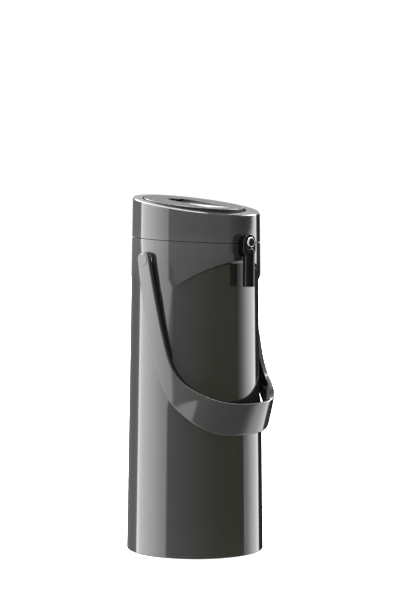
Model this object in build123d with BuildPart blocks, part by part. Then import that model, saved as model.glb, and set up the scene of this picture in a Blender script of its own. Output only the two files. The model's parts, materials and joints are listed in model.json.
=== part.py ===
from build123d import *
import os

# Thermal coffee airpot, in millimetres.
# Origin at the centre of the underside, +Z up, +X towards the spout, so the handle swings about Y.

# Outer form: a slightly tapering round body under a slanted lid
BASE_RADIUS = 70.9
TAPER = 0.0136
SHELL_WALL = 2.6
HEAD_WALL = 2.4
SHELL_FOOT = 0.8
SEAM_HEIGHT, SEAM_SLOPE = 321.6, 0.056
TOP_HEIGHT, TOP_SLOPE = 358.0, 0.167

# Recess in the body's front, behind the spout: the body's own taper set back, with a sloping roof and floor
RECESS_SETBACK, RECESS_WIDENING = 7.7, 3.6
ROOF_HEIGHT, ROOF_SLOPE = 300.6, 0.71
FLOOR_HEIGHT, FLOOR_SLOPE = 128.0, 1.0

# Spout
SPOUT_X = 75.5
SPOUT_TUBE_RADIUS, SPOUT_BORE = 6.0, 4.0
SPOUT_OUTLET, SPOUT_SHOULDER = 274.4, 308.5
NECK_RADIUS = 5.0
NECK_LOW, NECK_HIGH = 310.0, 319.5
NECK_BACK = 60.1
FACE_RADIUS = 8.5
FACE_LOW, FACE_BACK, FACE_FRONT = 312.0, 72.0, 78.0
HOSE_HEIGHT, HOSE_RADIUS, HOSE_BORE = 309.5, 3.2, 2.2

# Handle
PIVOT_X, PIVOT_Z = -2.0, 301.0
HANDLE_HALF_WIDTH, HANDLE_THICKNESS = 74.5, 5.0
PIVOT_FACE = 69.6
BOSS_FACE = 68.95
ARM_END_RADIUS = 8.0

# Liner
INNER_FLASK_RADIUS, OUTER_FLASK_RADIUS = 53.8, 58.5
GLASS = 1.6
FLASK_TOP = 289.0
NECK_ROUND = 5.0

# Collar and lid cup
COLLAR_FLOOR, COLLAR_TOP_FACE = 292.0, 295.0
COLLAR_RADIUS, COLLAR_WALL = 63.5, 2.0
CUP_FLOOR, CUP_FLOOR_TOP = 297.0, 299.5
CUP_RADIUS_LOW, CUP_RADIUS_HIGH = 57.5, 59.9
TUBE_X = 18.0
VALVE_X = -12.0

# Lid hinge
HINGE_X, HINGE_Z = -67.5, 326.5
KNUCKLE_RADIUS, HINGE_PIN_RADIUS = 3.5, 1.5

# Pump
WELL_X, WELL_RADIUS, WELL_DEPTH = -2.7, 54.5, 14.0
PAD_X, PAD_RADIUS, PAD_PLATE, PAD_SKIRT = -4.0, 52.0, 3.0, 7.0
PAD_HEIGHT, PAD_SLOPE = 359.5, 0.14
PUMP_PIN_X, PUMP_PIN_Z, PUMP_PIN_RADIUS = -48.0, 355.0, 2.0
PUSHER_TIP = 4.0
BELLOWS_X, BELLOWS_RADIUS = -4.0, 40.0
BELLOWS_LOW, BELLOWS_HIGH = 311.0, 338.0
PLATE_TOP = 341.0

RUNNING_FIT = 0.05
LOOSE_FIT = 0.1

# Planes that the outer form is cut by
SEAM = Plane(origin=(0, 0, SEAM_HEIGHT), z_dir=(SEAM_SLOPE, 0, 1))
TOP = Plane(origin=(0, 0, TOP_HEIGHT), z_dir=(TOP_SLOPE, 0, 1))
PAD_TOP = Plane(origin=(PAD_X, 0, PAD_HEIGHT - PAD_SLOPE * PAD_X), z_dir=(PAD_SLOPE, 0, 1))

os.makedirs("parts", exist_ok=True)


def outer_radius(z):
    """The radius of the tapering outside at a height."""
    return BASE_RADIUS - TAPER * z


def disc(radius, low, high, at=(0, 0), mode=Mode.ADD):
    """Join or cut an upright round between two heights."""
    with Locations((at[0], at[1], low)):
        Cylinder(radius, high - low, align=(Align.CENTER, Align.CENTER, Align.MIN), mode=mode)


def block(x, y, z, mode=Mode.ADD):
    """Join or cut a box that spans the given pairs of x, y and z."""
    with Locations(((x[0] + x[1]) / 2, (y[0] + y[1]) / 2, (z[0] + z[1]) / 2)):
        Box(x[1] - x[0], y[1] - y[0], z[1] - z[0], mode=mode)


def rod_x(radius, x, y, z, mode=Mode.ADD):
    """Join or cut a round that lies along X, with x a pair."""
    with Locations(Location(((x[0] + x[1]) / 2, y, z), (0, 90, 0))):
        Cylinder(radius, x[1] - x[0], mode=mode)


def rod_y(radius, x, y, z, mode=Mode.ADD):
    """Join or cut a round that lies along Y, with y a pair."""
    with Locations(Location((x, (y[0] + y[1]) / 2, z), (90, 0, 0))):
        Cylinder(radius, y[1] - y[0], mode=mode)


def turned(*points):
    """The half section of a turned piece, as radius and height."""
    with BuildSketch(Plane.XZ) as section:
        with BuildLine():
            Polyline(*points, close=True)
        make_face()
    return section.sketch


def cone_section(inset, low, high, edge=0.0):
    """The half section of the tapering body, smaller all round by an inset, with its lower edge broken."""
    low_radius = outer_radius(low) - inset
    high_radius = outer_radius(high) - inset
    if edge:
        broken = ((low_radius - edge, low), (low_radius, low + edge))
        return turned((0, low), *broken, (high_radius, high), (0, high))
    return turned((0, low), (low_radius, low), (high_radius, high), (0, high))


def bottle_section(radius, bottom, shoulder, neck, neck_foot, top, foot_round, shoulder_round):
    """The half section of a closed bottle with rounded foot, shoulder and neck."""
    with BuildSketch(Plane.XZ) as section:
        with BuildLine():
            Polyline(
                (0, bottom), (radius, bottom), (radius, shoulder), (neck, neck_foot), (neck, top), (0, top),
                close=True,
            )
        make_face()
        rounds = (
            ((radius, bottom), foot_round),
            ((radius, shoulder), shoulder_round),
            ((neck, neck_foot), NECK_ROUND),
        )
        for corner, size in rounds:
            fillet(section.vertices().sort_by_distance((corner[0], corner[1], 0))[0], size)
    return section.sketch


def roof_height(x, inset=0.0):
    """The height of the recess's sloping roof at a distance forward, moved into the body by an inset."""
    return ROOF_HEIGHT + inset * (1 + ROOF_SLOPE**2) ** 0.5 - ROOF_SLOPE * (outer_radius(ROOF_HEIGHT) - x)


def floor_height(x, inset=0.0):
    """The height of the recess's sloping floor at a distance forward, moved into the body by an inset."""
    return FLOOR_HEIGHT - inset * (1 + FLOOR_SLOPE**2) ** 0.5 + FLOOR_SLOPE * (outer_radius(FLOOR_HEIGHT) - x)


def front_bulge(inset):
    """The wedge that the front recess takes out of a round body, as a solid of its own.

    It lies between the roof and the floor, in front of a round surface with the body's own taper that is set
    back and a little wider. The inset moves all of them inwards.
    """
    back, front = 10, BASE_RADIUS + 20
    low, high = 60, 345
    with BuildPart() as wedge:
        with BuildSketch(Plane.XZ):
            with BuildLine():
                Polyline(
                    (back, floor_height(back, inset)),
                    (front, floor_height(front, inset)),
                    (front, roof_height(front, inset)),
                    (back, roof_height(back, inset)),
                    close=True,
                )
            make_face()
        extrude(amount=100, both=True)
        with Locations((-RECESS_SETBACK, 0, low)):
            Cone(
                outer_radius(low) + RECESS_WIDENING - inset,
                outer_radius(high) + RECESS_WIDENING - inset,
                high - low,
                align=(Align.CENTER, Align.CENTER, Align.MIN),
                mode=Mode.SUBTRACT,
            )
    return wedge.part


def upright_slot(x, low, radius):
    """A round-ended outline across X, from a low centre up to the button's, at a distance forward."""
    with BuildSketch(Plane.YZ.offset(x)) as outline:
        with Locations((0, (low + NECK_HIGH) / 2)):
            SlotCenterToCenter(NECK_HIGH - low, 2 * radius, rotation=90)
    return outline.sketch


def neck_opening(x, gap):
    """Cut the upright slot that the neck of the spout fits, with a gap all round it."""
    extrude(upright_slot(x[0], NECK_LOW, NECK_RADIUS + gap), amount=x[1] - x[0], mode=Mode.SUBTRACT)


def coil(radius, wire, low, high, turns, centre, direction=(0, 0, 1)):
    """A coil spring with round wire, from end to end."""
    path = Helix((high - low) / turns, high - low, radius, center=centre, direction=direction)
    with BuildPart() as spring:
        with BuildSketch(Plane(origin=path @ 0, z_dir=path % 0)):
            Circle(wire)
        sweep(path=path)
    return spring.part


def save(piece, name):
    """Label a finished piece and write it under its own name."""
    piece.part.label = name
    export_step(piece.part, f"parts/{name}.step")


# ---------------------------------------------------------------- body shell
BASE_BOSS_RADIUS = 61.5
COLLAR_BOSS_RADIUS = 58.1

with BuildPart() as body_cavity:
    revolve(cone_section(SHELL_WALL, 0, 345), axis=Axis.Z)
    add(front_bulge(SHELL_WALL), mode=Mode.SUBTRACT)

with BuildPart() as body_shell:
    revolve(cone_section(0, SHELL_FOOT, 340, edge=0.6), axis=Axis.Z)
    add(front_bulge(0), mode=Mode.SUBTRACT)
    add(body_cavity.part, mode=Mode.SUBTRACT)
    # bosses for the screws of the base and of the collar
    for angle in (0, 120, 240):
        with Locations(Location((0, 0, 0), (0, 0, angle))):
            with Locations((BASE_BOSS_RADIUS + 2.4, 0, 11.45)):
                Box(10, 8, 4.9)
        with Locations(Location((0, 0, 0), (0, 0, angle + 60))):
            with Locations((COLLAR_BOSS_RADIUS + 2, 0, 285)):
                Box(10.6, 9, 13.9)
    # bosses that the handle turns on
    for side in (-1, 1):
        rod_y(8.4, PIVOT_X, sorted((side * 64.6, side * BOSS_FACE)), PIVOT_Z)
    split(bisect_by=SEAM, keep=Keep.BOTTOM)
    # knuckle of the lid's hinge, in the middle
    with BuildSketch(Plane.XZ.offset(-6)):
        with Locations((HINGE_X, HINGE_Z)):
            Circle(KNUCKLE_RADIUS)
        with BuildLine():
            Polyline(
                (HINGE_X - KNUCKLE_RADIUS, HINGE_Z),
                (HINGE_X + 2.6, HINGE_Z),
                (HINGE_X + 2.6, HINGE_Z - 16),
                (HINGE_X + 0.4, HINGE_Z - 16),
                close=True,
            )
        make_face()
    extrude(amount=12)
    for side in (-1, 1):
        rod_y(KNUCKLE_RADIUS + 0.4, HINGE_X, sorted((side * 6.0, side * 13.4)), HINGE_Z, mode=Mode.SUBTRACT)
        rod_y(3.0 + RUNNING_FIT, PIVOT_X, sorted((side * 64.3, side * 70)), PIVOT_Z, mode=Mode.SUBTRACT)
    rod_y(HINGE_PIN_RADIUS + RUNNING_FIT, HINGE_X, (-7, 7), HINGE_Z, mode=Mode.SUBTRACT)
    neck_opening((50, 80), 0.3)
    for angle in (0, 120, 240):
        with Locations(Location((0, 0, 0), (0, 0, angle))):
            with Locations((BASE_BOSS_RADIUS, 0, 11)):
                Cylinder(1.65, 5, mode=Mode.SUBTRACT)
        with Locations(Location((0, 0, 0), (0, 0, angle + 60))):
            with Locations((COLLAR_BOSS_RADIUS, 0, 288)):
                Cylinder(1.65, 9, mode=Mode.SUBTRACT)
save(body_shell, "body_shell")

# ---------------------------------------------------------------- base
BASE_LOW, BASE_TOP = 5.0, 9.0
FOOT_LOW, FOOT_TOP, FOOT_HUB_TOP = 1.2, 4.2, 7.0
FOOT_HUB_RADIUS = 12.0
SCREW_SEAT = 3.45

with BuildPart() as base_cap:
    disc(67.4, BASE_LOW, BASE_TOP)
    disc(54, BASE_TOP, 14)
    disc(46, BASE_TOP, 14, mode=Mode.SUBTRACT)
    disc(16, BASE_TOP, 14.5)
    disc(FOOT_HUB_RADIUS + 0.6, BASE_LOW, 8, mode=Mode.SUBTRACT)
    disc(2 + RUNNING_FIT, 8, 14.5, mode=Mode.SUBTRACT)
    for angle in (0, 120, 240):
        with Locations(Location((0, 0, 0), (0, 0, angle))):
            with Locations((BASE_BOSS_RADIUS, 0, 6.2)):
                Cylinder(3.4, 2.4, mode=Mode.SUBTRACT)
            with Locations((BASE_BOSS_RADIUS, 0, 8)):
                Cylinder(1.65, 4, mode=Mode.SUBTRACT)
save(base_cap, "base_cap")

with BuildPart() as base_cap_screws:
    for angle in (0, 120, 240):
        with Locations(Location((0, 0, 0), (0, 0, angle))):
            with Locations((BASE_BOSS_RADIUS, 0, 6.3)):
                Cylinder(3.2, 2.2)
            with Locations((BASE_BOSS_RADIUS, 0, 10)):
                Cylinder(1.6, 5.6)
            with Locations((BASE_BOSS_RADIUS, 0, 5.6)):
                Box(4, 0.8, 0.9, mode=Mode.SUBTRACT)
                Box(0.8, 4, 0.9, mode=Mode.SUBTRACT)
save(base_cap_screws, "base_cap_screws")

with BuildPart() as swivel_foot:
    disc(66.6, FOOT_LOW, FOOT_TOP)
    disc(FOOT_HUB_RADIUS, FOOT_TOP, FOOT_HUB_TOP)
    disc(4 + RUNNING_FIT, FOOT_LOW, FOOT_HUB_TOP, mode=Mode.SUBTRACT)
    disc(8.6, FOOT_LOW, SCREW_SEAT + 0.05, mode=Mode.SUBTRACT)
    revolve(turned((56, FOOT_LOW), (62, FOOT_LOW), (62, 2.2), (56, 2.2)), axis=Axis.Z, mode=Mode.SUBTRACT)
save(swivel_foot, "swivel_foot")

with BuildPart() as foot_ring:
    revolve(turned((56.1, 0), (61.9, 0), (61.9, 2.2), (56.1, 2.2)), axis=Axis.Z)
save(foot_ring, "foot_ring")

with BuildPart() as swivel_washer:
    disc(11.5, FOOT_HUB_TOP + RUNNING_FIT, 7.95)
    disc(4.1, FOOT_HUB_TOP, 7.95, mode=Mode.SUBTRACT)
save(swivel_washer, "swivel_washer")

with BuildPart() as swivel_screw:
    disc(8, 1.45, SCREW_SEAT)
    disc(4, SCREW_SEAT, 8)
    disc(2, 8, 13.5)
    with Locations((0, 0, 1.85)):
        Box(9, 1.4, 0.8, mode=Mode.SUBTRACT)
save(swivel_screw, "swivel_screw")

# ---------------------------------------------------------------- vacuum liner
with BuildPart() as glass_outer_flask:
    revolve(bottle_section(OUTER_FLASK_RADIUS, 20, 248, 32, 272, FLASK_TOP, 18, 12), axis=Axis.Z)
    revolve(turned((0, 15.5), (1.5, 15.5), (4, 20.5), (0, 20.5)), axis=Axis.Z)
    revolve(
        bottle_section(OUTER_FLASK_RADIUS - GLASS, 21.6, 247.4, 30.4, 271.2, FLASK_TOP + 1, 16.4, 10.4),
        axis=Axis.Z,
        mode=Mode.SUBTRACT,
    )
    lip = ((32, 290), (31.5, 290.5), (27.5, 290.5), (27, 290))
    revolve(turned((27, FLASK_TOP), (32, FLASK_TOP), *lip), axis=Axis.Z)
save(glass_outer_flask, "glass_outer_flask")

with BuildPart() as glass_inner_flask:
    revolve(bottle_section(INNER_FLASK_RADIUS, 26, 246, 28.6, 268, FLASK_TOP, 20, 12), axis=Axis.Z)
    revolve(
        bottle_section(INNER_FLASK_RADIUS - GLASS, 27.6, 245.4, 27, 267.2, FLASK_TOP + 1, 18.4, 10.4),
        axis=Axis.Z,
        mode=Mode.SUBTRACT,
    )
save(glass_inner_flask, "glass_inner_flask")

with BuildPart() as flask_spacers:
    with PolarLocations(28, 3):
        with Locations((0, 0, 21.6)):
            Cylinder(5, 4.4, align=(Align.CENTER, Align.CENTER, Align.MIN))
save(flask_spacers, "flask_spacers")

with BuildPart() as liner_cushion:
    disc(60.2, 14, 30)
    revolve(
        bottle_section(OUTER_FLASK_RADIUS + 0.2, 19.9, 248, 32, 272, FLASK_TOP, 18, 12),
        axis=Axis.Z,
        mode=Mode.SUBTRACT,
    )
    disc(17, 14, 30, mode=Mode.SUBTRACT)
save(liner_cushion, "liner_cushion")

with BuildPart() as neck_gasket:
    disc(34, 284, COLLAR_FLOOR)
    disc(32.1, 284, 290.5, mode=Mode.SUBTRACT)
    disc(30.2, 290.5, COLLAR_FLOOR, mode=Mode.SUBTRACT)
save(neck_gasket, "neck_gasket")

# ---------------------------------------------------------------- collar and dip tube
CATCH_LOW, CATCH_HIGH = 308.8, 312.0
CATCH_INNER, CATCH_OUTER = 10.6, 15.0
COLLAR_GAP = SHELL_WALL + 0.3

with BuildPart() as neck_collar:
    disc(COLLAR_RADIUS, COLLAR_FLOOR, 335)
    disc(COLLAR_RADIUS - COLLAR_WALL, COLLAR_TOP_FACE, 335, mode=Mode.SUBTRACT)
    split(bisect_by=SEAM.offset(-0.6), keep=Keep.BOTTOM)
    disc(36, 282, COLLAR_FLOOR)
    disc(34 + LOOSE_FIT, 282, COLLAR_FLOOR, mode=Mode.SUBTRACT)
    disc(30, COLLAR_FLOOR, COLLAR_TOP_FACE, mode=Mode.SUBTRACT)
    disc(33, COLLAR_FLOOR + 1.5, COLLAR_TOP_FACE, mode=Mode.SUBTRACT)
    # the front is cut away along the slope of the recess's roof
    with BuildSketch(Plane.XZ):
        with BuildLine():
            Polyline(
                (45, 280), (75, 280), (75, roof_height(75, COLLAR_GAP)), (45, roof_height(45, COLLAR_GAP)),
                close=True,
            )
        make_face()
    extrude(amount=COLLAR_RADIUS, both=True, mode=Mode.SUBTRACT)
    neck_opening((50, 80), 0.4)
    for side in (-1, 1):
        catch = sorted((side * CATCH_INNER, side * CATCH_OUTER))
        block((56, 66), catch, (CATCH_LOW, CATCH_HIGH), mode=Mode.SUBTRACT)
    for angle in (60, 180, 300):
        with Locations(Location((0, 0, 0), (0, 0, angle))):
            with Locations((COLLAR_BOSS_RADIUS, 0, 294.1)):
                Cylinder(3.0, 2.0, mode=Mode.SUBTRACT)
            with Locations((COLLAR_BOSS_RADIUS, 0, 293)):
                Cylinder(1.65, 4, mode=Mode.SUBTRACT)
save(neck_collar, "neck_collar")

with BuildPart() as collar_screws:
    for angle in (60, 180, 300):
        with Locations(Location((0, 0, 0), (0, 0, angle))):
            with Locations((COLLAR_BOSS_RADIUS, 0, 294.0)):
                Cylinder(2.9, 1.8)
            with Locations((COLLAR_BOSS_RADIUS, 0, 289)):
                Cylinder(1.6, 8.4)
            with Locations((COLLAR_BOSS_RADIUS, 0, 294.5)):
                Box(3.6, 0.7, 0.8, mode=Mode.SUBTRACT)
                Box(0.7, 3.6, 0.8, mode=Mode.SUBTRACT)
save(collar_screws, "collar_screws")

with BuildPart() as tube_carrier:
    disc(32.9, COLLAR_FLOOR + 1.5, COLLAR_TOP_FACE)
    disc(26.5, 284, COLLAR_FLOOR + 1.5)
    disc(24.5, 284, COLLAR_FLOOR + 1.5, mode=Mode.SUBTRACT)
    disc(7, 290, COLLAR_FLOOR + 1.5, at=(TUBE_X, 0))
    disc(4 + RUNNING_FIT, 284, COLLAR_TOP_FACE, at=(TUBE_X, 0), mode=Mode.SUBTRACT)
    with Locations((-6, 0, 294)):
        with PolarLocations(9.5, 6):
            Cylinder(3.2, 6, mode=Mode.SUBTRACT)
save(tube_carrier, "tube_carrier")

with BuildPart() as dip_tube:
    disc(4, 34, COLLAR_TOP_FACE, at=(TUBE_X, 0))
    disc(5.5, 286.5, 289.9, at=(TUBE_X, 0))
    disc(3, 34, COLLAR_TOP_FACE, at=(TUBE_X, 0), mode=Mode.SUBTRACT)
    block((TUBE_X - 5, TUBE_X + 5), (-1.5, 1.5), (33, 37), mode=Mode.SUBTRACT)
save(dip_tube, "dip_tube")

# ---------------------------------------------------------------- handle
# Half lengths of the bail's elliptical outlines, by height: it leans out at the front and its arms are upright.
BAIL_OUTLINES = (
    (112, 72.6), (118, 74.2), (124, 75.9), (136, 80.2), (148, 84.5), (158, 87.7), (166, 88.8), (176, 88.3),
    (190, 87.2), (210, 86.6), (320, 86.4),
)
# Upper and lower edge of the bail in the side view, from an arm down to the front
BAIL_UPPER_EDGE = (
    (15.2, 262), (24, 226), (33, 197), (43, 181.5), (55, 172), (67, 164.8), (78, 159.5), (92, 156),
)
BAIL_LOWER_EDGE = (
    (-4.6, 271), (3.4, 238), (13.5, 201), (22.6, 177), (31, 161), (45, 146), (61, 131.5), (71, 125.6),
    (92, 122.6),
)
ARM_LEAN = 11.5

with BuildPart() as handle:
    with BuildSketch(Plane.XZ) as bail_side:
        with BuildLine():
            pivot = Vector(PIVOT_X, PIVOT_Z)
            across = Vector(1, 0).rotate(Axis.Z, ARM_LEAN)
            along = Vector(0, -1).rotate(Axis.Z, ARM_LEAN)
            front_start = pivot + across * ARM_END_RADIUS
            back_start = pivot - across * ARM_END_RADIUS
            front_edge = Spline(front_start, *BAIL_UPPER_EDGE, tangents=(along, Vector(1, -0.18)))
            back_edge = Spline(back_start, *BAIL_LOWER_EDGE, tangents=(along, Vector(1, -0.08)))
            Line(front_edge @ 1, back_edge @ 1)
            ThreePointArc(front_start, pivot - along * ARM_END_RADIUS, back_start)
        make_face()
    extrude(amount=95, both=True)
    for height, reach in BAIL_OUTLINES:
        with BuildSketch(Plane.XY.offset(height)):
            Ellipse(reach, HANDLE_HALF_WIDTH)
    loft(ruled=True, mode=Mode.INTERSECT)
    for height, reach in BAIL_OUTLINES:
        with BuildSketch(Plane.XY.offset(height)):
            Ellipse(reach - HANDLE_THICKNESS, HANDLE_HALF_WIDTH - HANDLE_THICKNESS)
    loft(ruled=True, mode=Mode.SUBTRACT)
    for side in (-1, 1):
        # a flat seat inside, a bore for the pin and a pocket for its head and cover
        rod_y(9.2, PIVOT_X, sorted((side * 60, side * PIVOT_FACE)), PIVOT_Z, mode=Mode.SUBTRACT)
        rod_y(4 + RUNNING_FIT, PIVOT_X, sorted((side * 60, side * 80)), PIVOT_Z, mode=Mode.SUBTRACT)
        rod_y(6.3, PIVOT_X, sorted((side * 72.6, side * 80)), PIVOT_Z, mode=Mode.SUBTRACT)
save(handle, "handle")

for side, name in ((-1, "right"), (1, "left")):
    with BuildPart() as handle_pin:
        rod_y(5.9, PIVOT_X, sorted((side * 72.65, side * 73.9)), PIVOT_Z)
        rod_y(4, PIVOT_X, sorted((side * BOSS_FACE, side * 72.65)), PIVOT_Z)
        rod_y(3, PIVOT_X, sorted((side * 64.6, side * BOSS_FACE)), PIVOT_Z)
        slot_depth = sorted((side * 73.4, side * 74))
        block((PIVOT_X - 3, PIVOT_X + 3), slot_depth, (PIVOT_Z - 0.5, PIVOT_Z + 0.5), Mode.SUBTRACT)
    save(handle_pin, f"handle_pin_{name}")
    with BuildPart() as handle_washer:
        rod_y(7.5, PIVOT_X, sorted((side * 69.0, side * 69.55)), PIVOT_Z)
        rod_y(4.1, PIVOT_X, sorted((side * 68, side * 70)), PIVOT_Z, mode=Mode.SUBTRACT)
    save(handle_washer, f"handle_washer_{name}")
    with BuildPart() as handle_cover:
        rod_y(6.25, PIVOT_X, sorted((side * 74.0, side * 74.9)), PIVOT_Z)
        chamfer(handle_cover.edges().filter_by(GeomType.CIRCLE).sort_by(Axis.Y)[0 if side < 0 else -1], 0.3)
    save(handle_cover, f"handle_cover_{name}")

# ---------------------------------------------------------------- lid: outer band
POST_RADIUS = 51.2
POST_ANGLES = (45, 135, 225, 315)
WEB_GAP, WEB_HEIGHT = 3.0, 4.0


def web_low(angle):
    """The height of the underside of a post's web, clear of the slanted seam."""
    return SEAM_HEIGHT + WEB_GAP + 0.5 - SEAM_SLOPE * POST_RADIUS * Vector(1, 0).rotate(Axis.Z, angle).X


with BuildPart() as head_cavity:
    revolve(cone_section(HEAD_WALL, 290, 390), axis=Axis.Z)
    split(bisect_by=TOP.offset(-3), keep=Keep.BOTTOM)

with BuildPart() as head_shell:
    revolve(cone_section(0, 300, 380), axis=Axis.Z)
    add(head_cavity.part, mode=Mode.SUBTRACT)
    split(bisect_by=TOP, keep=Keep.BOTTOM)
    split(bisect_by=SEAM.offset(0.7), keep=Keep.TOP)
    rim = head_shell.edges().filter_by_position(Axis.Z, 340, 372).sort_by(SortBy.LENGTH)[-1]
    chamfer(rim, 0.9)
    # the wall of the pump's well
    well = Plane(origin=(WELL_X, 0, TOP_HEIGHT - TOP_SLOPE * WELL_X), z_dir=(TOP_SLOPE, 0, 1))
    with BuildSketch(well.offset(-0.01)):
        Circle(WELL_RADIUS + 2)
    extrude(amount=-WELL_DEPTH)
    with BuildSketch(well.offset(1)):
        Circle(WELL_RADIUS)
    extrude(amount=-WELL_DEPTH - 2, mode=Mode.SUBTRACT)
    # lugs and stop bar for the pump lever
    for side in (-1, 1):
        block((-57, -44), sorted((side * 19, side * 24)), (350, 357.3))
        block((-50, -38.5), sorted((side * 19, side * 24)), (345, 354))
        rod_y(PUMP_PIN_RADIUS, PUMP_PIN_X, sorted((side * 18, side * 25)), PUMP_PIN_Z, mode=Mode.SUBTRACT)
    block((-42.5, -38.5), (-20, 20), (345, 350))
    block((-43, -38), (0.4, 6.6), (347, 351), mode=Mode.SUBTRACT)
    # posts that the cup is screwed to, with webs out to the wall
    for angle in POST_ANGLES:
        with Locations(Location((0, 0, 0), (0, 0, angle))):
            with Locations((POST_RADIUS, 0, CUP_FLOOR_TOP)):
                post = web_low(angle) + WEB_HEIGHT - CUP_FLOOR_TOP
                Cylinder(4, post, align=(Align.CENTER, Align.CENTER, Align.MIN))
            with Locations((POST_RADIUS + 6.6, 0, web_low(angle) + WEB_HEIGHT / 2)):
                Box(13.2, 5, WEB_HEIGHT)
            with Locations((POST_RADIUS, 0, 305)):
                Cylinder(1.65, 12, mode=Mode.SUBTRACT)
    # knuckles of the hinge, either side of the one on the body
    for side in (-1, 1):
        with BuildSketch(Plane.XZ.offset(-6.2 if side > 0 else 13)):
            with Locations((HINGE_X, HINGE_Z)):
                Circle(KNUCKLE_RADIUS)
            with BuildLine():
                Polyline(
                    (HINGE_X - KNUCKLE_RADIUS, HINGE_Z),
                    (HINGE_X + 2.4, HINGE_Z),
                    (HINGE_X + 2.4, HINGE_Z + 16),
                    (HINGE_X + 1.4, HINGE_Z + 16),
                    close=True,
                )
            make_face()
        extrude(amount=-6.8)
    rod_y(KNUCKLE_RADIUS + 0.4, HINGE_X, (-6.2, 6.2), HINGE_Z, mode=Mode.SUBTRACT)
    rod_y(HINGE_PIN_RADIUS + RUNNING_FIT, HINGE_X, (-14, 14), HINGE_Z, mode=Mode.SUBTRACT)
    neck_opening((50, 80), 0.25)
save(head_shell, "head_shell")

with BuildPart() as hinge_pin:
    rod_y(HINGE_PIN_RADIUS, HINGE_X, (-12.8, 12.8), HINGE_Z)
    chamfer(hinge_pin.edges().filter_by(GeomType.CIRCLE), 0.3)
save(hinge_pin, "hinge_pin")

# ---------------------------------------------------------------- lid: inner cup
CUP_STRAIGHT = 322.0


def cup_radius(z):
    """The outer radius of the cup's widening wall at a height."""
    return CUP_RADIUS_LOW + (CUP_RADIUS_HIGH - CUP_RADIUS_LOW) * (z - CUP_FLOOR) / (CUP_STRAIGHT - CUP_FLOOR)


with BuildPart() as head_base:
    disc(63.2, 305, 340)
    disc(57.8, 305, 340, mode=Mode.SUBTRACT)
    split(bisect_by=SEAM.offset(2.7), keep=Keep.BOTTOM)
    split(bisect_by=SEAM.offset(0.3), keep=Keep.TOP)
    revolve(
        turned(
            (CUP_RADIUS_LOW - 2, CUP_FLOOR), (CUP_RADIUS_LOW, CUP_FLOOR), (CUP_RADIUS_HIGH, CUP_STRAIGHT),
            (CUP_RADIUS_HIGH, 330), (CUP_RADIUS_HIGH - 2, 330), (CUP_RADIUS_HIGH - 2, CUP_STRAIGHT),
        ),
        axis=Axis.Z,
    )
    split(bisect_by=SEAM.offset(2.7), keep=Keep.BOTTOM)
    disc(CUP_RADIUS_LOW - 1, CUP_FLOOR, CUP_FLOOR_TOP)
    # passages for coffee and for air
    disc(3, CUP_FLOOR, CUP_FLOOR_TOP, at=(TUBE_X, 0), mode=Mode.SUBTRACT)
    disc(1.65, CUP_FLOOR, CUP_FLOOR_TOP, at=(VALVE_X, 0), mode=Mode.SUBTRACT)
    with Locations((VALVE_X, 0, CUP_FLOOR)):
        with PolarLocations(4.2, 4, start_angle=45):
            Cylinder(1.2, 8, mode=Mode.SUBTRACT)
    for angle in POST_ANGLES:
        with Locations(Location((0, 0, 0), (0, 0, angle))):
            with Locations((POST_RADIUS, 0, 297.7)):
                Cylinder(3.2, 1.6, mode=Mode.SUBTRACT)
            with Locations((POST_RADIUS, 0, 298)):
                Cylinder(1.65, 4, mode=Mode.SUBTRACT)
    with Locations((BELLOWS_X, 0, CUP_FLOOR_TOP)):
        with PolarLocations(46, 3, start_angle=60):
            Cylinder(1.3, 3.6, mode=Mode.SUBTRACT)
    # the front: hose, latch rod, latch tips and the neck of the spout
    rod_x(HOSE_RADIUS + LOOSE_FIT, (50, 64), 0, HOSE_HEIGHT, mode=Mode.SUBTRACT)
    rod_x(1.7, (50, 64), 0, NECK_HIGH, mode=Mode.SUBTRACT)
    for side in (-1, 1):
        catch = sorted((side * (CATCH_INNER + 0.2), side * (CATCH_OUTER - 0.3)))
        block((54, 62), catch, (CATCH_LOW + 0.2, CATCH_HIGH - 0.2), mode=Mode.SUBTRACT)
    neck_opening((60.0, 70), 0.2)
save(head_base, "head_base")

with BuildPart() as head_base_screws:
    for angle in POST_ANGLES:
        with Locations(Location((0, 0, 0), (0, 0, angle))):
            with Locations((POST_RADIUS, 0, 297.8)):
                Cylinder(3.1, 1.4)
            with Locations((POST_RADIUS, 0, 302.5)):
                Cylinder(1.6, 9)
            with Locations((POST_RADIUS, 0, 297.3)):
                Box(3.8, 0.7, 0.8, mode=Mode.SUBTRACT)
                Box(0.7, 3.8, 0.8, mode=Mode.SUBTRACT)
save(head_base_screws, "head_base_screws")

with BuildPart() as lid_seal:
    disc(37, COLLAR_TOP_FACE + RUNNING_FIT, CUP_FLOOR)
    disc(31.5, COLLAR_TOP_FACE, CUP_FLOOR, mode=Mode.SUBTRACT)
save(lid_seal, "lid_seal")

with BuildPart() as delivery_seal:
    disc(7, COLLAR_TOP_FACE + RUNNING_FIT, CUP_FLOOR, at=(TUBE_X, 0))
    disc(3.2, COLLAR_TOP_FACE, CUP_FLOOR, at=(TUBE_X, 0), mode=Mode.SUBTRACT)
save(delivery_seal, "delivery_seal")

with BuildPart() as check_valve:
    disc(7, 295.6, CUP_FLOOR - RUNNING_FIT, at=(VALVE_X, 0))
    disc(1.6, 296.9, 299.5, at=(VALVE_X, 0))
    disc(2.3, 299.55, 301.5, at=(VALVE_X, 0))
    disc(1.6, 299.4, 300, at=(VALVE_X, 0))
save(check_valve, "check_valve")

# ---------------------------------------------------------------- delivery: ball chamber, hose and spout
CHAMBER_RADIUS, CHAMBER_TOP = 6.5, 308.0
BALL_RADIUS = 3.4

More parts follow.
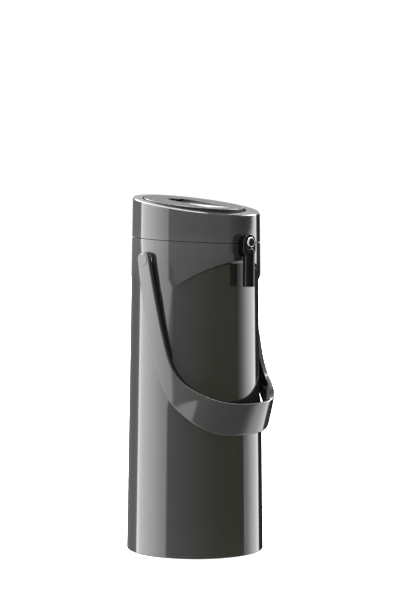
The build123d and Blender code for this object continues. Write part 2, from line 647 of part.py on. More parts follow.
with BuildPart() as ball_chamber:
    disc(CHAMBER_RADIUS, CUP_FLOOR_TOP, CHAMBER_TOP, at=(TUBE_X, 0))
    disc(8, CUP_FLOOR_TOP, 301, at=(TUBE_X, 0))
    rod_x(2.1, (TUBE_X + 5, TUBE_X + 14), 0, 304)
    disc(2.6, CUP_FLOOR_TOP, 303, at=(TUBE_X, 0), mode=Mode.SUBTRACT)
    disc(4.6, 300.3, CHAMBER_TOP - 1.2, at=(TUBE_X, 0), mode=Mode.SUBTRACT)
    rod_x(1.4, (TUBE_X, TUBE_X + 15), 0, 304, mode=Mode.SUBTRACT)
save(ball_chamber, "ball_chamber")

with BuildPart() as spill_ball:
    with Locations((TUBE_X, 0, 302.62)):
        Sphere(BALL_RADIUS - 1.1)
save(spill_ball, "spill_ball")

with BuildPart() as delivery_hose:
    with BuildLine():
        hose_path = FilletPolyline(
            (TUBE_X + 8, 0, 304), (43, 0, 304), (50, 0, HOSE_HEIGHT), (62.4, 0, HOSE_HEIGHT), radius=8
        )
    with BuildSketch(Plane(origin=hose_path @ 0, z_dir=hose_path % 0)):
        Circle(HOSE_RADIUS)
        Circle(HOSE_BORE, mode=Mode.SUBTRACT)
    sweep()
save(delivery_hose, "delivery_hose")

BUTTON_RADIUS, BUTTON_BACK, BUTTON_FRONT = 5.2, 75.0, 79.6
POCKET_BACK, POCKET_STEP = 66.0, 72.3

with BuildPart() as spout:
    # upright face plate that the button sits in
    extrude(upright_slot(FACE_BACK, FACE_LOW, FACE_RADIUS), amount=FACE_FRONT - FACE_BACK)
    fillet(spout.faces().sort_by(Axis.X)[-1].edges(), 2.0)
    fillet(spout.faces().sort_by(Axis.X)[0].edges(), 0.8)
    # neck through the wall, and the outlet tube with its round shoulder
    extrude(upright_slot(NECK_BACK, NECK_LOW, NECK_RADIUS), amount=FACE_BACK + 1 - NECK_BACK)
    disc(SPOUT_TUBE_RADIUS, SPOUT_OUTLET, SPOUT_SHOULDER, at=(SPOUT_X, 0))
    fillet(spout.faces().sort_by(Axis.Z)[0].edges(), 0.6)
    with Locations((SPOUT_X, 0, SPOUT_SHOULDER)):
        Sphere(SPOUT_TUBE_RADIUS)
    disc(SPOUT_BORE, SPOUT_OUTLET - 1, HOSE_HEIGHT + HOSE_BORE + 0.3, at=(SPOUT_X, 0), mode=Mode.SUBTRACT)
    rod_x(HOSE_RADIUS + LOOSE_FIT, (NECK_BACK - 1, 62.5), 0, HOSE_HEIGHT, mode=Mode.SUBTRACT)
    rod_x(HOSE_BORE, (62, SPOUT_X), 0, HOSE_HEIGHT, mode=Mode.SUBTRACT)
    # pocket for the button and its spring
    rod_x(BUTTON_RADIUS + 0.15, (POCKET_STEP, FACE_FRONT + 1), 0, NECK_HIGH, mode=Mode.SUBTRACT)
    rod_x(3.9, (POCKET_BACK, POCKET_STEP + 1), 0, NECK_HIGH, mode=Mode.SUBTRACT)
    rod_x(1.5, (NECK_BACK - 1, POCKET_BACK + 1), 0, NECK_HIGH, mode=Mode.SUBTRACT)
save(spout, "spout")

with BuildPart() as spout_seal:
    rod_x(4.9, (58.2, NECK_BACK), 0, HOSE_HEIGHT)
    rod_x(HOSE_RADIUS + LOOSE_FIT, (58, 61), 0, HOSE_HEIGHT, mode=Mode.SUBTRACT)
    inner_edge = [(cup_radius(z) + RUNNING_FIT, z) for z in (303, 316)]
    revolve(turned((0, 303), *inner_edge, (0, 316)), axis=Axis.Z, mode=Mode.SUBTRACT)
save(spout_seal, "spout_seal")

# ---------------------------------------------------------------- lid release
ROD_RADIUS, ROD_END = 1.3, BUTTON_BACK + 1.5

with BuildPart() as latch_button:
    rod_x(BUTTON_RADIUS, (BUTTON_BACK, BUTTON_FRONT), 0, NECK_HIGH)
    fillet(latch_button.faces().sort_by(Axis.X)[-1].edges(), 1.5)
    rod_x(ROD_RADIUS + RUNNING_FIT, (BUTTON_BACK - 1, ROD_END), 0, NECK_HIGH, mode=Mode.SUBTRACT)
save(latch_button, "latch_button")

with BuildPart() as latch_hook:
    rod_x(ROD_RADIUS, (53, ROD_END), 0, NECK_HIGH)
    block((51.5, 53.5), (-CATCH_OUTER + 0.6, CATCH_OUTER - 0.6), (308, 324))
    block((51, 54), (-5, 5), (307, 314.5), mode=Mode.SUBTRACT)
    for side in (-1, 1):
        tip = sorted((side * (CATCH_INNER + 0.5), side * (CATCH_OUTER - 0.6)))
        block((53.5, 58.7), tip, (CATCH_LOW + 0.5, CATCH_HIGH - 0.5))
save(latch_hook, "latch_hook")

SPRING_START = POCKET_BACK + 0.6
latch_coil = coil(
    3.2, 0.45, SPRING_START, BUTTON_BACK - 0.6, 5, (SPRING_START, 0, NECK_HIGH), direction=(1, 0, 0)
)
latch_coil.label = "latch_spring"
export_step(latch_coil, "parts/latch_spring.step")

# ---------------------------------------------------------------- air pump
with BuildPart() as pump_base:
    disc(42, CUP_FLOOR_TOP, BELLOWS_LOW, at=(BELLOWS_X, 0))
    disc(40, CUP_FLOOR_TOP, BELLOWS_LOW - 2.5, at=(BELLOWS_X, 0), mode=Mode.SUBTRACT)
    block((32, 42), (-4.4, 4.4), (CUP_FLOOR_TOP, BELLOWS_LOW - 2.5), mode=Mode.SUBTRACT)
    with Locations((BELLOWS_X, 0, CUP_FLOOR_TOP)):
        with PolarLocations(46, 3, start_angle=60):
            Cylinder(4.2, 2.5, align=(Align.CENTER, Align.CENTER, Align.MIN))
        with PolarLocations(43.5, 3, start_angle=60):
            Box(4, 8.4, 2.5, align=(Align.CENTER, Align.CENTER, Align.MIN))
        with PolarLocations(46, 3, start_angle=60):
            Cylinder(1.65, 10, mode=Mode.SUBTRACT)
    with Locations((BELLOWS_X, 0, BELLOWS_LOW)):
        with PolarLocations(14, 6):
            Cylinder(3, 10, mode=Mode.SUBTRACT)
save(pump_base, "pump_base")

with BuildPart() as pump_base_screws:
    with Locations((BELLOWS_X, 0, CUP_FLOOR_TOP + 2.5)):
        with PolarLocations(46, 3, start_angle=60):
            Cylinder(2.9, 1.6, align=(Align.CENTER, Align.CENTER, Align.MIN))
            Cylinder(1.25, 3.9, align=(Align.CENTER, Align.CENTER, Align.MAX))
save(pump_base_screws, "pump_base_screws")

BELLOWS_FOLDS = 5
BELLOWS_INNER = 33.0
FOLD_WALL = 1.2

with BuildPart() as bellows:
    fold = (BELLOWS_HIGH - BELLOWS_LOW) / BELLOWS_FOLDS
    outside = [(BELLOWS_INNER + FOLD_WALL, BELLOWS_LOW)]
    inside = [(BELLOWS_INNER, BELLOWS_LOW)]
    for turn in range(BELLOWS_FOLDS):
        crest = BELLOWS_LOW + (turn + 0.5) * fold
        root = BELLOWS_LOW + (turn + 1) * fold
        outside += [(BELLOWS_RADIUS, crest), (BELLOWS_INNER + FOLD_WALL, root)]
        inside += [(BELLOWS_RADIUS - FOLD_WALL, crest), (BELLOWS_INNER, root)]
    revolve(turned(*outside, *reversed(inside)), axis=Axis.Z)
    bellows.part.position = (BELLOWS_X, 0, 0)
save(bellows, "bellows")

bellows_coil = coil(24.0, 0.9, BELLOWS_LOW + 1, BELLOWS_HIGH - 1, 5, (BELLOWS_X, 0, BELLOWS_LOW + 1))
bellows_coil.label = "bellows_spring"
export_step(bellows_coil, "parts/bellows_spring.step")

with BuildPart() as bellows_plate:
    disc(37, BELLOWS_HIGH, PLATE_TOP - 1, at=(BELLOWS_X, 0))
    disc(18, BELLOWS_HIGH, PLATE_TOP, at=(BELLOWS_X, 0))
save(bellows_plate, "bellows_plate")

# ---------------------------------------------------------------- pump lever
SCOOP_FRONT, SCOOP_REAR, SCOOP_RADIUS, SCOOP_DEPTH = 33.0, -36.0, 17.0, 2.2
SCOOP_FLOOR = 6.0


def pad_height(x):
    """The height of the pad's top at a distance forward."""
    return PAD_HEIGHT - PAD_SLOPE * x


def scoop_sketch(plane, radius):
    """The outline of the finger scoop on a plane whose origin is at the scoop's front end."""
    centre = SCOOP_REAR + SCOOP_RADIUS - SCOOP_FRONT
    with BuildSketch(plane) as outline:
        with Locations((centre, 0)):
            Circle(radius)
        with Locations((centre / 2, 0)):
            Rectangle(-centre, 2 * radius)
    return outline.sketch


with BuildPart() as pump_pad:
    with BuildSketch(PAD_TOP):
        Circle(PAD_RADIUS)
    extrude(amount=-PAD_SKIRT)
    with BuildSketch(PAD_TOP.offset(-PAD_PLATE)):
        Circle(PAD_RADIUS - 2)
    extrude(amount=-PAD_SKIRT, mode=Mode.SUBTRACT)
    top_edge = pump_pad.faces().sort_by(Axis.Z)[-1].edges()
    fillet(top_edge, 0.8)
    scoop_origin = (SCOOP_FRONT, 0, pad_height(SCOOP_FRONT))
    ramp_slope = PAD_SLOPE - SCOOP_DEPTH / (SCOOP_FRONT - SCOOP_REAR)
    scoop_base = Plane(origin=scoop_origin, z_dir=(PAD_SLOPE, 0, 1)).offset(-PAD_PLATE)
    extrude(scoop_sketch(scoop_base, SCOOP_RADIUS + 2), amount=-(SCOOP_FLOOR - PAD_PLATE))
    ramp = Plane(origin=scoop_origin, z_dir=(ramp_slope, 0, 1))
    extrude(scoop_sketch(ramp, SCOOP_RADIUS), amount=12, mode=Mode.SUBTRACT)
    # slot for the lock
    block((-31, -27), (-6.3, 6.3), (350, 370), mode=Mode.SUBTRACT)
    # pusher with a rounded tip
    block((BELLOWS_X - 3, BELLOWS_X + 3), (-10, 10), (PLATE_TOP + PUSHER_TIP, pad_height(BELLOWS_X) - 5))
    rod_y(PUSHER_TIP, BELLOWS_X, (-10, 10), PLATE_TOP + PUSHER_TIP + 0.1)
    # ears on the pivot pin
    for side in (-1, 1):
        ear = sorted((side * 13, side * 18.5))
        block((PUMP_PIN_X - 4, PUMP_PIN_X + 4), ear, (PUMP_PIN_Z, pad_height(PUMP_PIN_X) - 2.5))
        rod_y(4, PUMP_PIN_X, ear, PUMP_PIN_Z)
        rod_y(PUMP_PIN_RADIUS + RUNNING_FIT, PUMP_PIN_X, ear, PUMP_PIN_Z, mode=Mode.SUBTRACT)
save(pump_pad, "pump_pad")

with BuildPart() as pump_pin:
    rod_y(PUMP_PIN_RADIUS, PUMP_PIN_X, (-24, 24), PUMP_PIN_Z)
save(pump_pin, "pump_pin")

LOCK_Y = 3.5
KNOB_FLOOR, KNOB_THICKNESS, STEM_FLOOR = 362.45, 1.5, 356.6

with BuildPart() as pump_lock:
    block((-33.5, -24.5), (LOCK_Y - 4.5, LOCK_Y + 4.5), (KNOB_FLOOR, KNOB_FLOOR + KNOB_THICKNESS))
    fillet(pump_lock.edges().filter_by(Axis.Z), 1.5)
    fillet(pump_lock.faces().sort_by(Axis.Z)[-1].edges(), 0.4)
    block((-30.9, -27.1), (LOCK_Y - 2.6, LOCK_Y + 2.6), (STEM_FLOOR, KNOB_FLOOR))
save(pump_lock, "pump_lock")

with BuildPart() as lock_hook:
    block((-41.8, -25.5), (LOCK_Y - 3, LOCK_Y + 3), (STEM_FLOOR - 2, STEM_FLOOR))
    block((-41.8, -39.4), (LOCK_Y - 2.2, LOCK_Y + 2.2), (350.2, STEM_FLOOR - 1.6))
save(lock_hook, "lock_hook")
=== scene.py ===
import json
import math

import bmesh
import bpy
from mathutils import Euler, Matrix, Vector


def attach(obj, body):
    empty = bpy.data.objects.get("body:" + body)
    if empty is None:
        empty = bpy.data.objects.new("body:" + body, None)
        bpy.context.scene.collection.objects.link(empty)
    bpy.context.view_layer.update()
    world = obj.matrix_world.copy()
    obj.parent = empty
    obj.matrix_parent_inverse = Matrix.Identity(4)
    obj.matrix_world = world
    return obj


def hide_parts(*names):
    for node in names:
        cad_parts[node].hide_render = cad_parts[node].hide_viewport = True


MM = 0.001

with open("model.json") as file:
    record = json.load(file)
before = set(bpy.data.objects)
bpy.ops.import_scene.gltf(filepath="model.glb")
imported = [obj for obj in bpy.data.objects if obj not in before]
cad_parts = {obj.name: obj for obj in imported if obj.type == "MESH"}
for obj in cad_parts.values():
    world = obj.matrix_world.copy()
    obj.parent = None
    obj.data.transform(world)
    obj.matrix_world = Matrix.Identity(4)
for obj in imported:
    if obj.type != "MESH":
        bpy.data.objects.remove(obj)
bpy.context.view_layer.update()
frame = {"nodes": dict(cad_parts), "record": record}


# ---------------------------------------------------------------- materials
class Nodes:
    """A short way to write a node tree."""

    def __init__(self, tree):
        tree.nodes.clear()
        self.tree = tree

    def add(self, kind, inputs=None, **settings):
        node = self.tree.nodes.new(kind)
        for name, value in settings.items():
            setattr(node, name, value)
        for key, value in (inputs or {}).items():
            socket = node.inputs[key]
            if isinstance(value, bpy.types.NodeSocket):
                self.tree.links.new(value, socket)
            else:
                socket.default_value = value
        return node

    def calc(self, operation, *values):
        """One step of arithmetic."""
        return self.add("ShaderNodeMath", dict(enumerate(values)), operation=operation).outputs[0]

    def mapped(self, value, start, end, low=0.0, high=1.0, curve="LINEAR"):
        """A value's way from a start to an end, as a way from low to high."""
        inputs = {"Value": value, "From Min": start, "From Max": end, "To Min": low, "To Max": high}
        return self.add("ShaderNodeMapRange", inputs, interpolation_type=curve).outputs[0]

    def eased(self, value, start, end):
        """0 to 1 as a value goes from a start to an end, soft at both ends."""
        return self.mapped(value, start, end, curve="SMOOTHSTEP")

    def mixed(self, factor, a, b):
        """One colour giving way to another."""
        inputs = {"Factor": factor, "A": a, "B": b}
        return self.add("ShaderNodeMix", inputs, data_type="RGBA").outputs["Result"]


NEUTRAL = (1.0, 1.0, 1.0)
WARM = (1.02, 1.0, 0.97)
# how sharply an edge is bent where its painted highlight starts and where it is full, and how much lighter
# that edge is painted
EDGE_HIGHLIGHT_BEND = (0.52, 0.62)
EDGE_HIGHLIGHT_BRIGHTER = 3
DRIFT_SCALE = 22.0
RELIEF_DEPTH = 0.2 * MM


def shade(value, tint):
    """A grey of a given strength in linear light, leaning to a tint."""
    return (value * tint[0], value * tint[1], value * tint[2], 1.0)


def moulded(name, dark, light, roughness, grain, bump, tint=NEUTRAL, metallic=0.0, ior=1.5, edge_highlight=0.0):
    """Moulded or turned stock: two close tones that drift, and a fine grain in its gloss and surface."""
    material = bpy.data.materials.new(name)
    material.use_nodes = True
    n = Nodes(material.node_tree)
    where = n.add("ShaderNodeTexCoord").outputs["Object"]
    drift = {"Vector": where, "Scale": DRIFT_SCALE, "Detail": 3.0}
    drift = n.add("ShaderNodeTexNoise", drift).outputs["Fac"]
    speck = {"Vector": where, "Scale": grain, "Detail": 4.0}
    speck = n.add("ShaderNodeTexNoise", speck).outputs["Fac"]
    colour = n.mixed(drift, shade(dark, tint), shade(light, tint))
    # sharp edges are painted lighter: a painted edge highlight
    if edge_highlight:
        bend = n.add("ShaderNodeNewGeometry").outputs["Pointiness"]
        highlight_share = n.mapped(bend, *EDGE_HIGHLIGHT_BEND, high=edge_highlight)
        colour = n.mixed(highlight_share, colour, shade(light * EDGE_HIGHLIGHT_BRIGHTER, tint))
    gloss = n.mapped(speck, 0.3, 0.7, roughness * 0.8, roughness * 1.25)
    relief = n.add("ShaderNodeBump", {"Height": speck, "Strength": bump, "Distance": RELIEF_DEPTH})
    surface = {
        "Base Color": colour,
        "Roughness": gloss,
        "Normal": relief.outputs[0],
        "Metallic": metallic,
        "IOR": ior,
    }
    shader = n.add("ShaderNodeBsdfPrincipled", surface)
    n.add("ShaderNodeOutputMaterial", {"Surface": shader.outputs[0]})
    return material


# the anthracite, handle, pad and black plastics get a painted highlight on their sharp edges
MATERIALS = {
    "body": moulded("anthracite_gloss", 0.012, 0.015, 0.05, 900, 0.02, edge_highlight=0.3),
    "handle": moulded("handle_gloss", 0.020, 0.026, 0.07, 900, 0.02, tint=WARM, edge_highlight=0.3),
    "lid_top": moulded("pad_satin", 0.035, 0.045, 0.09, 1500, 0.04, edge_highlight=0.2),
    "black": moulded("black_gloss", 0.001, 0.002, 0.06, 900, 0.02, ior=1.22, edge_highlight=0.2),
    "inner_plastic": moulded("inner_plastic", 0.045, 0.055, 0.38, 1200, 0.2),
    "pale_plastic": moulded("pale_plastic", 0.55, 0.62, 0.35, 1200, 0.15, tint=WARM),
    "silicone": moulded("silicone", 0.50, 0.56, 0.48, 700, 0.15, tint=WARM),
    "rubber": moulded("rubber", 0.016, 0.022, 0.62, 1500, 0.35),
    "silvered_glass": moulded("silvered_glass", 0.78, 0.84, 0.05, 300, 0.02, metallic=1.0),
    "steel": moulded("steel", 0.52, 0.60, 0.24, 1600, 0.15, tint=WARM, metallic=1.0),
}
# near black, for painted shade in the gap round the pump lever
GAP_SHADE = moulded("painted_gap_shade", 0.003, 0.004, 0.5, 900, 0.1)
# pale metal, for a painted highlight round the latch button
RING_HIGHLIGHT = moulded("painted_ring_highlight", 0.42, 0.50, 0.12, 900, 0.03, metallic=1.0)

slot_of = {part["node"]: part["material_slot"] for part in frame["record"]["subparts"]}
for node, obj in frame["nodes"].items():
    obj.data.materials.clear()
    obj.data.materials.append(MATERIALS[slot_of[node]])


def paint_faces(node, material, wanted):
    """Give a second material to the faces of a node whose middle and normal, in the world, are wanted."""
    obj = frame["nodes"][node]
    obj.data.materials.append(material)
    to_world = obj.matrix_world
    turn = to_world.to_3x3()
    for face in obj.data.polygons:
        if wanted(to_world @ face.center, (turn @ face.normal).normalized()):
            face.material_index = 1


# the lid's top leans towards the spout, and the round well of the pump lever is sunk square to it
TOP_NORMAL = Vector((0.165, 0, 1)).normalized()
WELL_AXIS = Vector((-4, 0, 358)) * MM
WELL_REACH = 57.5 * MM
BUTTON_FRONT = 77.6 * MM


def from_well_axis(place):
    """How far a place is from the line that the well is turned about."""
    offset = place - WELL_AXIS
    return (offset - TOP_NORMAL * offset.dot(TOP_NORMAL)).length


def on_pad_skirt(place, normal):
    return normal.dot(TOP_NORMAL) < 0.5


def on_well_wall(place, normal):
    return from_well_axis(place) < WELL_REACH and abs(normal.dot(TOP_NORMAL)) < 0.3


def on_button_rim(place, normal):
    return place.x > BUTTON_FRONT and 0.12 < normal.x < 0.97


# the pad's skirt and the wall of its well are painted near black: painted shade in the ring gap between the
# lever and the lid's rim
paint_faces("pump_pad", GAP_SHADE, on_pad_skirt)
paint_faces("head_shell", GAP_SHADE, on_well_wall)
# the rounded rim round the latch button is painted pale metal: a painted highlight ring
paint_faces("latch_button", RING_HIGHLIGHT, on_button_rim)


# ---------------------------------------------------------------- bail handle
def smooth_curve(points, steps):
    """Catmull-Rom curve through points, closely sampled."""
    first = [2 * a - b for a, b in zip(points[0], points[1])]
    last = [2 * a - b for a, b in zip(points[-1], points[-2])]
    chain = [first, *points, last]
    curve = []
    for before, start, end, after in zip(chain, chain[1:], chain[2:], chain[3:]):
        for step in range(steps):
            t = step / steps
            place = []
            for a, b, c, d in zip(before, start, end, after):
                bend = (2 * a - 5 * b + 4 * c - d) * t**2
                twist = (3 * b - a - 3 * c + d) * t**3
                place.append(0.5 * (2 * b + (c - a) * t + bend + twist))
            curve.append(tuple(place))
    curve.append(tuple(points[-1]))
    return curve


def spaced(curve, count):
    """The same curve with evenly spaced points."""
    lengths = [0.0]
    for a, b in zip(curve, curve[1:]):
        lengths.append(lengths[-1] + math.dist(a, b))
    result = []
    segment = 0
    for index in range(count):
        goal = lengths[-1] * index / (count - 1)
        while segment < len(curve) - 2 and lengths[segment + 1] < goal:
            segment += 1
        share = (goal - lengths[segment]) / max(lengths[segment + 1] - lengths[segment], 1e-9)
        share = min(max(share, 0.0), 1.0)
        a, b = curve[segment], curve[segment + 1]
        result.append(tuple(p + (q - p) * share for p, q in zip(a, b)))
    return result


# millimetres. The pivot and both edges of the band are (forward, height), seen from the side.
BAIL_HALF_WIDTH, BAIL_THICKNESS, BAIL_ROUND = 74.5, 5.0, 0.9
BAIL_PIVOT, BAIL_END_RADIUS, BAIL_LEAN = Vector((-2.0, 301.0)), 8.0, math.radians(11.5)
BAIL_FRONT = [(15.2, 262), (24, 226), (33, 197), (43, 181.5), (55, 172), (67, 164.8), (78, 159.5), (92, 156)]
BAIL_BACK = [
    (-4.6, 271), (3.4, 238), (13.5, 201), (22.6, 177), (31, 161), (45, 146), (61, 131.5), (71, 125.6),
    (92, 122.6),
]
# how far forward the middle of the band reaches, by height
BAIL_REACH = smooth_curve(
    [
        (100, 70.0), (112, 72.6), (124, 75.9), (136, 80.2), (148, 84.5), (158, 87.7), (166, 88.8),
        (176, 88.3), (190, 87.2), (210, 86.6), (330, 86.4),
    ],
    40,
)
# an angle round the band is handled as a length along it, at this radius
BAIL_WRAP = 80.0
BAIL_EDGE_STEPS = 60
BAIL_STATIONS = 90
BAIL_END_ANGLES = (84, 72, 60, 48, 36, 24, 12)
# the crossing's points: close together over each rounded edge, and evenly spaced between
BAIL_EDGE_PLACES = (0.0, 0.07, 0.27, 0.58, 1.0, 1.9)
BAIL_MIDDLE_STEPS = 9


def bail_reach(height):
    for (low, near), (high, far) in zip(BAIL_REACH, BAIL_REACH[1:]):
        if height <= high:
            return near + (far - near) * (height - low) / (high - low)
    return BAIL_REACH[-1][1]


def wrapped(curve):
    """A side view edge as length round the bail and height, up to the middle of the front."""
    result = []
    for forward, height in curve:
        share = forward / bail_reach(height)
        if share >= 1:
            before = result[-1]
            result.append((math.pi / 2 * BAIL_WRAP, before[1] + (height - before[1]) * 0.5))
            return result
        result.append((math.asin(share) * BAIL_WRAP, height))
    return result


def bail_stations():
    """The band's crossings from a pivot to the front: both ends, and how far up the round end it is."""
    across = Vector((math.cos(BAIL_LEAN), math.sin(BAIL_LEAN)))
    along = Vector((math.sin(BAIL_LEAN), -math.cos(BAIL_LEAN)))
    stations = []
    for angle in BAIL_END_ANGLES:
        rise = BAIL_END_RADIUS * math.sin(math.radians(angle))
        half = BAIL_END_RADIUS * math.cos(math.radians(angle))
        centre = BAIL_PIVOT - along * rise
        ends = [centre - across * half, centre + across * half]
        ends = [(math.asin(end.x / bail_reach(end.y)) * BAIL_WRAP, end.y) for end in ends]
        stations.append((*ends, rise))
    edges = []
    for side, outline in ((-1, BAIL_BACK), (1, BAIL_FRONT)):
        start = BAIL_PIVOT + across * BAIL_END_RADIUS * side
        curve = smooth_curve([tuple(start), *outline], BAIL_EDGE_STEPS)
        edges.append(spaced(wrapped(curve), BAIL_STATIONS))
    for low, high in zip(*edges):
        stations.append((low, high, 0.0))
    return stations


def bail_ring(low, high, rise):
    """One crossing's points, as angle, height, and how far the rounded edge has sunk there."""
    width = math.dist(low, high)
    edge = min(BAIL_ROUND, width / 4.5)
    places = [place * edge for place in BAIL_EDGE_PLACES]
    flat = width - 2 * places[-1]
    middle = [places[-1] + flat * step / BAIL_MIDDLE_STEPS for step in range(1, BAIL_MIDDLE_STEPS)]
    places = places + middle + [width - place for place in reversed(places)]
    ring = []
    for place in places:
        share = place / width
        angle = (low[0] + (high[0] - low[0]) * share) / BAIL_WRAP
        height = low[1] + (high[1] - low[1]) * share
        if rise:
            inside = BAIL_END_RADIUS - math.hypot(rise, place - width / 2)
        else:
            inside = min(place, width - place)
        inside = min(max(inside, 0.0), BAIL_ROUND)
        sunk = BAIL_ROUND - math.sqrt(BAIL_ROUND**2 - (BAIL_ROUND - inside) ** 2)
        ring.append((angle, height, sunk))
    return ring


def bail_point(angle, height, depth, side):
    """A place in the band, from the angle off the pivots and the depth under the outer face."""
    forward = (bail_reach(height) - depth) * math.sin(angle)
    sideways = side * (BAIL_HALF_WIDTH - depth) * math.cos(angle)
    return Vector((forward, sideways, height)) * MM


def bail_mesh(bm):
    rings = [bail_ring(*station) for station in bail_stations()]
    sections = []
    for side in (1, -1):
        order = rings if side > 0 else reversed(rings[:-1])
        for ring in order:
            outer = [bail_point(angle, height, sunk, side) for angle, height, sunk in ring]
            inner = [
                bail_point(angle, height, BAIL_THICKNESS - sunk, side)
                for angle, height, sunk in reversed(ring)
            ]
            # two more points on each flat edge keep its shading flat
            start = [inner[-1].lerp(outer[0], share) for share in (0.12, 0.88)]
            end = [outer[-1].lerp(inner[0], share) for share in (0.12, 0.88)]
            loop = [*outer, *end, *inner, *start]
            sections.append([bm.verts.new(point) for point in loop])
    size = len(sections[0])
    for near, far in zip(sections, sections[1:]):
        for index in range(size):
            following = (index + 1) % size
            bm.faces.new((near[index], near[following], far[following], far[index]))
    for section in (sections[0], sections[-1]):
        # the end is closed by a ladder of faces from the outer row to the inner one
        row = size // 2 - 2
        outer, inner = section[:row], section[row + 2 : 2 * row + 2][::-1]
        bm.faces.new((outer[0], inner[0], section[-2], section[-1]))
        bm.faces.new((outer[-1], section[row], section[row + 1], inner[-1]))
        for index in range(row - 1):
            bm.faces.new((outer[index], outer[index + 1], inner[index + 1], inner[index]))
    bmesh.ops.recalc_face_normals(bm, faces=bm.faces)


def mesh_object(name, build, material, smooth):
    bm = bmesh.new()
    build(bm)
    for face in bm.faces:
        face.smooth = smooth
    mesh = bpy.data.meshes.new(name)
    bm.to_mesh(mesh)
    bm.free()
    mesh.materials.append(material)
    obj = bpy.data.objects.new(name, mesh)
    bpy.context.scene.collection.objects.link(obj)
    return obj


def new_piece(name, build, node, body, slot):
    """A smooth piece of the object that stands in for a CAD node."""
    obj = mesh_object(name, build, MATERIALS[slot], smooth=True)
    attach(obj, body)
    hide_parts(node)


new_piece("bail", bail_mesh, "handle", "handle", "handle")

# ---------------------------------------------------------------- floor and backdrop
STUDIO_RADIUS = 9.0
FLOOR_GREY, FLOOR_GLOW = 0.8, 0.75
BACKDROP_GLOW = 1.05
WHITE = (1, 1, 1, 1)


def glowing_material(name, glow, grey=0.0):
    """Light of its own, over a matt grey if there is one."""
    material = bpy.data.materials.new(name)
    material.use_nodes = True
    n = Nodes(material.node_tree)
    surface = n.add("ShaderNodeEmission", {"Color": WHITE, "Strength": glow})
    if grey:
        matt = n.add("ShaderNodeBsdfDiffuse", {"Color": shade(grey, NEUTRAL)})
        surface = n.add("ShaderNodeAddShader", {0: matt.outputs[0], 1: surface.outputs[0]})
    n.add("ShaderNodeOutputMaterial", {"Surface": surface.outputs[0]})
    return material


def floor_mesh(bm):
    bmesh.ops.create_circle(bm, cap_ends=True, segments=96, radius=STUDIO_RADIUS)


def backdrop_mesh(bm):
    bmesh.ops.create_uvsphere(bm, u_segments=64, v_segments=32, radius=STUDIO_RADIUS)


def stage_piece(name, build, material):
    """A part of the room. The camera sees it, but it lights nothing, shades nothing and isn't mirrored."""
    obj = mesh_object(name, build, material, smooth=False)
    obj.visible_glossy = False
    obj.visible_diffuse = False
    obj.visible_shadow = False
    return obj


stage_piece("floor", floor_mesh, glowing_material("floor", FLOOR_GLOW, FLOOR_GREY))
backdrop = stage_piece("backdrop", backdrop_mesh, glowing_material("backdrop", BACKDROP_GLOW))
backdrop.visible_transmission = False

# ---------------------------------------------------------------- studio light
CAMERA_AZIMUTH = 45.0

# The studio round the object, as radiance by the angle from the camera's side, to the right of it positive:
# a large softbox to the left, a dark room behind the camera, a strip light to the right, a grey wall behind.
# A third value is the share of blue where the dark room is a little olive.
STUDIO_HIGH = (
    (-180, 0.15), (-176, 0.30), (-150, 0.35), (-128, 0.8), (-118, 1.2), (-116, 8.0), (-112, 8.0),
    (-110, 6.9), (-85, 6.7), (-72, 5.9), (-59, 4.6), (-52, 4.2), (-49, 1.5), (-28, 1.42), (14, 1.33),
    (35, 1.25), (58, 1.2), (71, 0.75), (92, 0.3), (116, 0.10), (123, 2.0), (129, 4.6), (138, 4.6),
    (140, 0.02), (176, 0.02), (180, 0.15),
)
STUDIO_LEVEL = (
    (-180, 0.15), (-176, 0.30), (-150, 0.33), (-140, 0.38), (-128, 0.55), (-118, 1.0), (-116, 8.0),
    (-112, 8.0), (-110, 6.95), (-85, 6.7), (-72, 5.9), (-59, 4.6), (-52, 4.2), (-48, 1.0), (-26, 0.80),
    (-6, 0.68, 0.9), (15, 0.56, 0.76), (36, 0.46, 0.66), (77, 0.42, 0.62), (84, 0.30, 0.8), (92, 1.0),
    (100, 2.2), (108, 3.5), (117, 4.2), (137, 4.5), (140, 0.02), (176, 0.02), (180, 0.15),
)
STUDIO_LOW = (
    (-180, 0.20), (-120, 0.30), (-115, 3.2), (-60, 3.6), (-19, 3.4), (-15, 0.85), (10, 0.55), (80, 0.40),
    (90, 0.9), (105, 2.6), (138, 3.4), (142, 0.02), (180, 0.20),
)
PEAK = 8.0

# heights are the upward part of a direction: 0 is level and 1 is overhead
LOW_TO_LEVEL = (-0.24, -0.19)
# the dark room's upper edge runs a little uphill from left to right
LEVEL_TO_HIGH = (-0.0060, -0.0034)
EDGE_RISE = -0.0066

# the wall behind, in three bands of height
WALL_SIDES = (-0.55, -0.85)
WALL_START = (0.025, 0.035)
WALL_FOOT, WALL_MIDDLE, WALL_TOP = 2.4, 0.28, 0.8
FOOT_TO_MIDDLE = (0.145, 0.160)
MIDDLE_TO_TOP = (0.208, 0.222)

# a soft ceiling, a bright light in the middle of it, and a lit floor
CEILING, CEILING_START = 2.0, (0.75, 0.9)
OVERHEAD, OVERHEAD_START = 16.0, (0.95, 0.98)
GROUND, GROUND_START = 1.5, (-0.75, -0.9)

# the arch of light, and how far off its line and how high it fades
ARCH = 14.0
ARCH_SIDES = (0.10, 0.06)
ARCH_START = (0.35, 0.45)


def grey_level(radiance):
    return shade(radiance / PEAK, NEUTRAL)


def ramp_of(n, share, stops):
    ramp = n.add("ShaderNodeValToRGB", {"Fac": share})
    points = ramp.color_ramp.elements
    for index, (angle, radiance, *blue) in enumerate(stops):
        place = (angle + 180) / 360
        element = points[index] if index < 2 else points.new(place)
        element.position = place
        level = radiance / PEAK
        element.color = (level, level, level * (blue[0] if blue else 1), 1)
    return ramp.outputs["Color"]


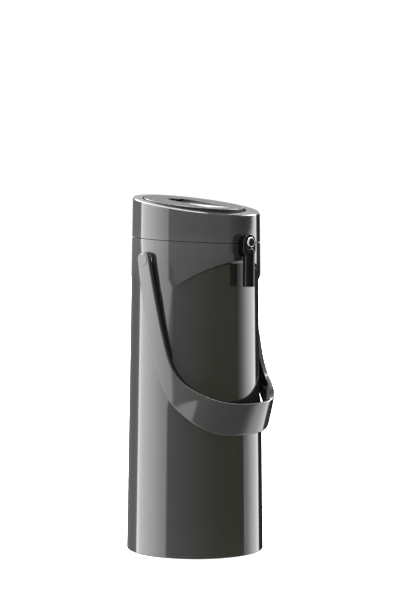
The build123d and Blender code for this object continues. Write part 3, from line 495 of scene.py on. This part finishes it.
def side_walls(n, azimuth, height):
    """The softbox, the strip light and the dark room, in three layers of height."""
    share = n.mapped(azimuth, -math.pi, math.pi)
    above_edge = n.eased(n.calc("MULTIPLY_ADD", azimuth, EDGE_RISE, height), *LEVEL_TO_HIGH)
    level = n.mixed(above_edge, ramp_of(n, share, STUDIO_LEVEL), ramp_of(n, share, STUDIO_HIGH))
    return n.mixed(n.eased(height, *LOW_TO_LEVEL), ramp_of(n, share, STUDIO_LOW), level)


def wall_behind(n, ahead, height, walls):
    """The pale wall that the top of the lid mirrors, with a bright foot."""
    pale = n.calc("MULTIPLY", n.eased(ahead, *WALL_SIDES), n.eased(height, *WALL_START))
    wall = n.mixed(n.eased(height, *FOOT_TO_MIDDLE), grey_level(WALL_FOOT), grey_level(WALL_MIDDLE))
    wall = n.mixed(n.eased(height, *MIDDLE_TO_TOP), wall, grey_level(WALL_TOP))
    return n.mixed(pale, walls, wall)


def light_arch(n, ahead, height, walls):
    """An arch over the object. Level edges turned to the camera mirror it as one bright line."""
    off_line = n.calc("SUBTRACT", ahead, n.calc("MULTIPLY", height, height))
    off_line = n.calc("ABSOLUTE", n.calc("ADD", off_line, 1.0))
    inside = n.calc("MULTIPLY", n.eased(off_line, *ARCH_SIDES), n.eased(height, *ARCH_START))
    return n.mixed(inside, walls, grey_level(ARCH))


def studio_world():
    world = bpy.data.worlds.new("studio")
    bpy.context.scene.world = world
    world.use_nodes = True
    n = Nodes(world.node_tree)
    # with the camera's side turned to +X, its right is +Y
    turn = {
        "Vector": n.add("ShaderNodeTexCoord").outputs["Generated"],
        "Axis": (0, 0, 1),
        "Angle": math.radians(90 - CAMERA_AZIMUTH),
    }
    turned = n.add("ShaderNodeVectorRotate", turn, rotation_type="AXIS_ANGLE")
    direction = n.add("ShaderNodeSeparateXYZ", {0: turned.outputs[0]})
    ahead, right, height = (direction.outputs[axis] for axis in "XYZ")
    walls = side_walls(n, n.calc("ARCTAN2", right, ahead), height)
    walls = wall_behind(n, ahead, height, walls)
    walls = n.mixed(n.eased(height, *CEILING_START), walls, grey_level(CEILING))
    walls = light_arch(n, ahead, height, walls)
    walls = n.mixed(n.eased(height, *OVERHEAD_START), walls, grey_level(OVERHEAD))
    walls = n.mixed(n.eased(height, *GROUND_START), walls, grey_level(GROUND))
    light = n.add("ShaderNodeBackground", {"Color": walls, "Strength": PEAK})
    n.add("ShaderNodeOutputWorld", {"Surface": light.outputs[0]})


studio_world()

# ---------------------------------------------------------------- camera
CAMERA_DISTANCE, CAMERA_HEIGHT = 1.872, 0.341
CAMERA_PITCH, CAMERA_YAW, CAMERA_ROLL = 1.26, 0.127, 0.24
LENS, SENSOR_WIDTH, VIEW_SHIFT = 108.0, 36.0, -0.0662
NEAREST, FARTHEST = 0.05, 3 * STUDIO_RADIUS


def make_camera():
    data = bpy.data.cameras.new("camera")
    data.lens = LENS
    data.sensor_width = SENSOR_WIDTH
    data.shift_y = VIEW_SHIFT
    data.clip_start, data.clip_end = NEAREST, FARTHEST
    obj = bpy.data.objects.new("camera", data)
    bpy.context.scene.collection.objects.link(obj)
    azimuth = math.radians(CAMERA_AZIMUTH)
    forward, right = CAMERA_DISTANCE * math.sin(azimuth), CAMERA_DISTANCE * math.cos(azimuth)
    obj.location = (forward, -right, CAMERA_HEIGHT)
    aim = Euler((math.radians(90 - CAMERA_PITCH), 0, azimuth - math.radians(CAMERA_YAW))).to_matrix()
    obj.rotation_euler = (aim @ Matrix.Rotation(math.radians(CAMERA_ROLL), 3, "Z")).to_euler()
    bpy.context.scene.camera = obj


make_camera()
bpy.context.scene.view_settings.view_transform = "Standard"
